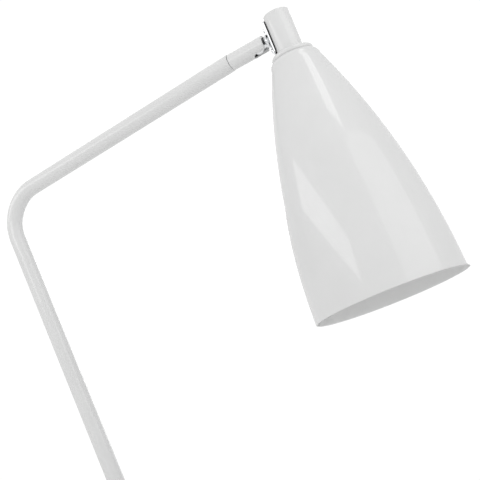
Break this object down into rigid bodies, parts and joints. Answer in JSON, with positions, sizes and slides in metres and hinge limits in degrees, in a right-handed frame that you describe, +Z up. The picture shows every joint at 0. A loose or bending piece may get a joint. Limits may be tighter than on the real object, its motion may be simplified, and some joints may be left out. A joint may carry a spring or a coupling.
{
  "type": "swing arm desk lamp",
  "caption": "Desk lamp with a tall domed shade on a slotted ball swivel, at the end of a tube bent once above a round weighted base that it swings on.",
  "frame": {"origin": "middle of the foot pad's underside, on the arm's swing axis", "axes": "+Z up; the bent tube lies in the XZ plane with the shade on the +X side"},
  "size_m": [0.4626, 0.19, 0.5038],
  "materials": {
    "white_paint": "gloss white paint",
    "chrome": "polished chrome plate",
    "steel": "zinc plated steel",
    "brass": "turned brass",
    "bulb_shell": "rolled aluminium screw shell",
    "iron": "rough casting",
    "foot_rubber": "matt black foam rubber",
    "gasket": "thin black gasket",
    "black_plastic": "moulded black",
    "button_plastic": "moulded white",
    "nylon": "natural nylon",
    "holder_plastic": "moulded white",
    "porcelain": "glazed white",
    "lead_sheath": "white PVC sheath",
    "opal_glass": "opal glass"
  },
  "bodies": {
    "base": {"foot_pad": "foot_rubber", "bottom_plate": "steel", "base_weight": "iron", "base_cover": "white_paint", "plate_screws": "steel", "pivot_bush": "brass", "swing_stop": "steel", "cord_gland": "black_plastic", "gland_nut": "black_plastic", "terminal_block": "nylon", "terminal_barrels": "brass", "terminal_screws": "steel", "switch_body": "black_plastic", "switch_bezel": "black_plastic", "base_lead": "lead_sheath"},
    "button": {"switch_button": "button_plastic"},
    "arm": {"hub": "white_paint", "friction_washer": "nylon", "spindle": "steel", "spring_washer": "steel", "spindle_nut": "steel", "set_screw": "steel", "arm_tube": "white_paint", "tip_insert": "steel", "arm_lead": "lead_sheath"},
    "collar": {"swivel_collar": "white_paint", "collar_screw": "steel", "ball_seat": "black_plastic", "disc_springs": "steel", "seat_nut": "steel", "collar_lead": "lead_sheath"},
    "ball": {"swivel_ball": "chrome", "stud_washer": "steel", "stud_nut": "steel", "stud_lead": "lead_sheath"},
    "head": {"saddle_plate": "chrome", "saddle_gasket": "gasket", "saddle_screws": "chrome", "saddle_washer": "steel", "head_cap": "white_paint", "cap_lid": "white_paint", "neck_ring": "white_paint", "shade": "white_paint", "nipple": "brass", "nipple_nut": "brass", "holder_cap": "holder_plastic", "holder_core": "porcelain", "holder_contacts": "brass", "holder_sleeve": "holder_plastic", "head_lead": "lead_sheath", "bulb_base": "bulb_shell", "bulb_glass": "opal_glass"}
  },
  "joints": [
    {"name": "base_swing", "type": "hinge", "parent": "base", "child": "arm", "pos_m": [0, 0, 0.0221], "axis": [0, 0, 1], "range_deg": [-150, 150]},
    {"name": "collar_turn", "type": "hinge", "parent": "arm", "child": "collar", "pos_m": [0.12589, 0, 0.47147], "axis": [0.9265, 0, 0.3762], "range_deg": [-150, 150]},
    {"name": "head_tilt", "type": "hinge", "parent": "collar", "child": "ball", "pos_m": [0.12589, 0, 0.47147], "axis": [0, 1, 0], "range_deg": [-10, 65]},
    {"name": "head_spin", "type": "hinge", "parent": "ball", "child": "head", "pos_m": [0.12589, 0, 0.47147], "axis": [0.9191, 0, 0.3939], "range_deg": [-170, 170]},
    {"name": "switch_press", "type": "slide", "parent": "base", "child": "button", "axis": [0, 0, -1], "range_m": [0, 0.0025], "stiffness_N_per_m": 600, "springref_m": -0.0015}
  ]
}
